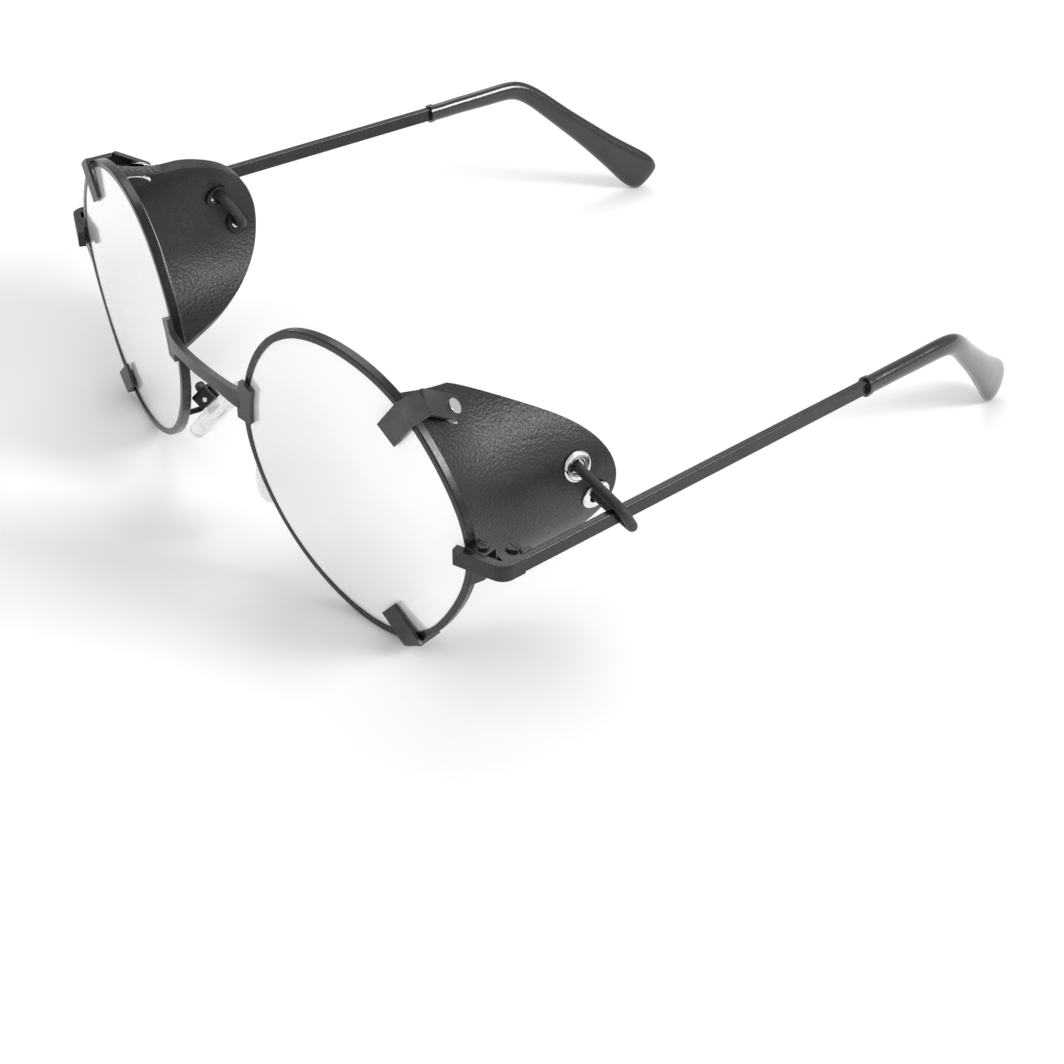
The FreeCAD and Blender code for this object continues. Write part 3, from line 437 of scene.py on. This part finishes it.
class Leather:
    """Reads the curved leather of one side from its CAD solid, round the axis through the lens."""

    def __init__(self, side):
        self.out = 1.0 if side == "left" else -1.0
        low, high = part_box("shield_" + side)
        self.axis_x = self.out * LENS_CENTRE_X
        self.axis_z = LENS_CENTRE_Z
        self.front = low.y - LEATHER_STEP
        self.back = high.y + LEATHER_STEP
        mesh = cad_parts["shield_" + side].data
        corners = [vertex.co for vertex in mesh.vertices]
        self.tree = BVHTree.FromPolygons(corners, [tuple(face.vertices) for face in mesh.polygons])
        clean = math.radians(LEATHER_CLEAN_ANGLE)
        depths = np.linspace(self.front, self.back, LEATHER_DEPTHS)
        known = [(y, self.hit_radius(clean, y)) for y in depths]
        self.known_y, radii = zip(*[(y, r) for y, r in known if r is not None][1:-1])
        padded = np.pad(radii, LEATHER_EASING, mode="reflect", reflect_type="odd")
        width = 2 * LEATHER_EASING + 1
        self.known_r = np.convolve(padded, np.ones(width) / width, mode="valid")

    def direction(self, angle):
        return Vector((self.out * math.cos(angle), 0, math.sin(angle)))

    def centre(self, y):
        return Vector((self.axis_x, y, self.axis_z))

    def radius(self, y):
        """Outer face of the leather at this depth; it goes on straight before the first reading."""
        if y < self.known_y[0]:
            last = LEATHER_SLOPE_READINGS
            slope = (self.known_r[last] - self.known_r[0]) / (self.known_y[last] - self.known_y[0])
            return self.known_r[0] + slope * (y - self.known_y[0])
        return float(np.interp(y, self.known_y, self.known_r))

    def there(self, angle, y):
        """Whether the leather itself, and not a fitting under it, is met here."""
        found = self.hit_radius(angle, y)
        return found is not None and found > self.radius(y) - LEATHER_THICKNESS / 2

    def hit_radius(self, angle, y):
        """Distance from the axis to the first face that a ray from outside meets."""
        start = self.centre(y) + self.direction(angle) * FAR
        hit = self.tree.ray_cast(start, -self.direction(angle), FAR)[0]
        return None if hit is None else (hit - self.centre(y)).length

    def edge(self, angle, start, step):
        """Where the leather begins, going from start in steps and then halving the last one."""
        y = start
        while self.front <= y <= self.back and not self.there(angle, y):
            y += step
        if not self.front <= y <= self.back:
            return None
        outside, inside = y - step, y
        for halving in range(LEATHER_HALVINGS):
            middle = (outside + inside) / 2
            if self.there(angle, middle):
                inside = middle
            else:
                outside = middle
        return inside

    def span(self, angle):
        """Depths of the leather's front and back edges at this angle."""
        first = self.edge(angle, self.front + LEATHER_INSET, LEATHER_STEP)
        last = self.edge(angle, self.back - LEATHER_INSET, -LEATHER_STEP)
        return None if first is None or last is None else (first, last)

    def angles(self):
        """The leather's lowest and highest angle."""
        degrees = np.arange(-LEATHER_LIMIT_ANGLE, LEATHER_LIMIT_ANGLE, LEATHER_ANGLE_STEP)
        found = [angle for angle in np.radians(degrees) if self.span(angle)]
        return found[0], found[-1]


def leather_grid(leather):
    """Outer face of the leather as rows of points, from the rim to the back edge."""
    low, high = leather.angles()
    rows = []
    for angle in np.linspace(low, high, LEATHER_COLUMNS):
        span = leather.span(angle)
        if span is None:
            continue
        first, last = span
        depths = np.linspace(first, last, LEATHER_ROWS)
        rows.append([(angle, y, leather.radius(y)) for y in depths])
    return rows


def relief(angle, y):
    """Height of the slow waves of worn leather."""
    along = y / WAVE_ALONG
    around = angle / WAVE_AROUND
    wave = math.sin(1.1 * along + 0.7 * around) * math.sin(0.8 * around - 0.4 * along)
    return WAVE_HEIGHT * (wave + 0.4 * math.sin(2.3 * along + 1.9 * around))


def make_leather(leather, side):
    """The shield as one sheet of leather with holes under its eyelets and rounded cut edges."""
    rows = leather_grid(leather)
    eyelets = eyelet_centres(side)
    points = []
    for row in rows:
        for angle, y, radius in row:
            point = leather.centre(y) + leather.direction(angle) * (radius - LEATHER_SET_BACK)
            near = min((point - centre).length for centre in eyelets)
            by_eyelet = min(1.0, near / CALM_BY_EYELET)
            by_rim = min(1.0, max(0.0, (y - leather.front) / CALM_BY_RIM))
            calm = by_eyelet * by_rim
            points.append(point + leather.direction(angle) * (relief(angle, y) * calm))
    faces = []
    for i in range(len(rows) - 1):
        for j in range(LEATHER_ROWS - 1):
            corner = i * LEATHER_ROWS + j
            face = (corner, corner + 1, corner + LEATHER_ROWS + 1, corner + LEATHER_ROWS)
            middle = sum((points[k] for k in face), Vector()) / 4
            if min((middle - centre).length for centre in eyelets) > EYELET_HOLE:
                faces.append(face if leather.out > 0 else face[::-1])
    mesh = bpy.data.meshes.new("leather_" + side)
    mesh.from_pydata(points, [], faces)
    thing = new_object("leather_shield_" + side, mesh)
    solid = thing.modifiers.new("thickness", "SOLIDIFY")
    solid.thickness = LEATHER_THICKNESS
    solid.offset = -1.0
    solid.use_even_offset = True
    edge = thing.modifiers.new("cut_edge", "BEVEL")
    edge.width = CUT_EDGE_WIDTH
    edge.segments = CUT_EDGE_SEGMENTS
    edge.limit_method = "ANGLE"
    edge.angle_limit = math.radians(CUT_EDGE_ANGLE)
    final_mesh(thing)
    remove_loose(thing.data)
    return thing


def remove_loose(mesh):
    """Deletes the points left in the eyelet holes and turns every face outwards."""
    work = bmesh.new()
    work.from_mesh(mesh)
    loose = [vertex for vertex in work.verts if not vertex.link_faces]
    bmesh.ops.delete(work, geom=loose, context="VERTS")
    bmesh.ops.recalc_face_normals(work, faces=work.faces)
    work.to_mesh(mesh)
    work.free()
    smooth_shaded(mesh)


def eyelet_centres(side):
    """Middle of each of the two eyelets, read from the CAD solids by their height."""
    low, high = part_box("eyelets_" + side)
    divide = (low.z + high.z) / 2
    corners = [vertex.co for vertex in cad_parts["eyelets_" + side].data.vertices]
    centres = []
    for above in (True, False):
        group = np.array([corner for corner in corners if (corner.z > divide) == above])
        centres.append(Vector((group.min(0) + group.max(0)) / 2))
    return centres


def darken_inside(rings, leather):
    """The eyelets' inner washers are black; only the outer rings are chromed."""
    rings.data.materials.append(MATERIALS["box"])
    for face in rings.data.polygons:
        middle = face.center
        reach = math.hypot(middle.x - leather.axis_x, middle.z - leather.axis_z)
        if reach < leather.radius(middle.y) - LEATHER_THICKNESS * WASHER_DEPTH:
            face.material_index = len(rings.data.materials) - 1


def bend_with_temple(thing):
    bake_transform(thing)


def make_side(side):
    leather = Leather(side)
    shield = make_leather(leather, side)
    rings = rounded_copy("shield_eyelets_" + side, "eyelets_" + side,
                         EYELET_VOXEL, EYELET_SMOOTHING)
    cord = rounded_copy("lace_loop_" + side, "cord_loop_" + side, CORD_VOXEL, CORD_SMOOTHING)
    for thing, look, slot, node in ((shield, "leather", "leather", "shield_"),
                                    (rings, "chrome", "chrome", "eyelets_"),
                                    (cord, "cord", "cord", "cord_loop_")):
        paint(thing, look)
        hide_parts(node + side)
    darken_inside(rings, leather)
    for thing in (shield, rings, cord):
        bend_with_temple(thing)


# ---- studio -------------------------------------------------------------------------------------

def make_camera():
    data = bpy.data.cameras.new("camera")
    data.lens = CAMERA_LENS
    data.sensor_width = CAMERA_SENSOR
    data.clip_start = 0.01
    camera = bpy.data.objects.new("camera", data)
    bpy.context.scene.collection.objects.link(camera)
    turn = Matrix((CAMERA_RIGHT, CAMERA_UP, CAMERA_BACK)).transposed()
    camera.matrix_world = Matrix.Translation(CAMERA_PLACE) @ turn.to_4x4()
    bpy.context.scene.camera = camera


def make_floor():
    corners = [(-FLOOR_HALF, -FLOOR_HALF, 0), (FLOOR_HALF, -FLOOR_HALF, 0),
               (FLOOR_HALF, FLOOR_HALF, 0), (-FLOOR_HALF, FLOOR_HALF, 0)]
    mesh = bpy.data.meshes.new("floor")
    mesh.from_pydata(corners, [], [(0, 1, 2, 3)])
    floor = new_object("floor", mesh)
    floor.data.materials.append(floor_paint())


def soft_light(name, direction, distance, size, power):
    """Square light in the given direction from the middle of the object, facing it."""
    data = bpy.data.lights.new(name, "AREA")
    data.shape = "SQUARE"
    data.size = size
    data.energy = power
    light = bpy.data.objects.new(name, data)
    bpy.context.scene.collection.objects.link(light)
    toward = Vector(direction).normalized()
    light.location = toward * distance
    light.rotation_euler = toward.to_track_quat("Z", "Y").to_euler()


def make_light():
    world = bpy.data.worlds.new("studio")
    bpy.context.scene.world = world
    world.use_nodes = True
    background = world.node_tree.nodes["Background"]
    background.inputs["Color"].default_value = SKY_COLOUR
    background.inputs["Strength"].default_value = SKY_STRENGTH
    for light in LIGHTS:
        soft_light(*light)


paint_nodes()
for side_name in SIDES:
    make_side(side_name)
make_camera()
make_floor()
make_light()

bpy.context.scene.view_settings.view_transform = "Standard"
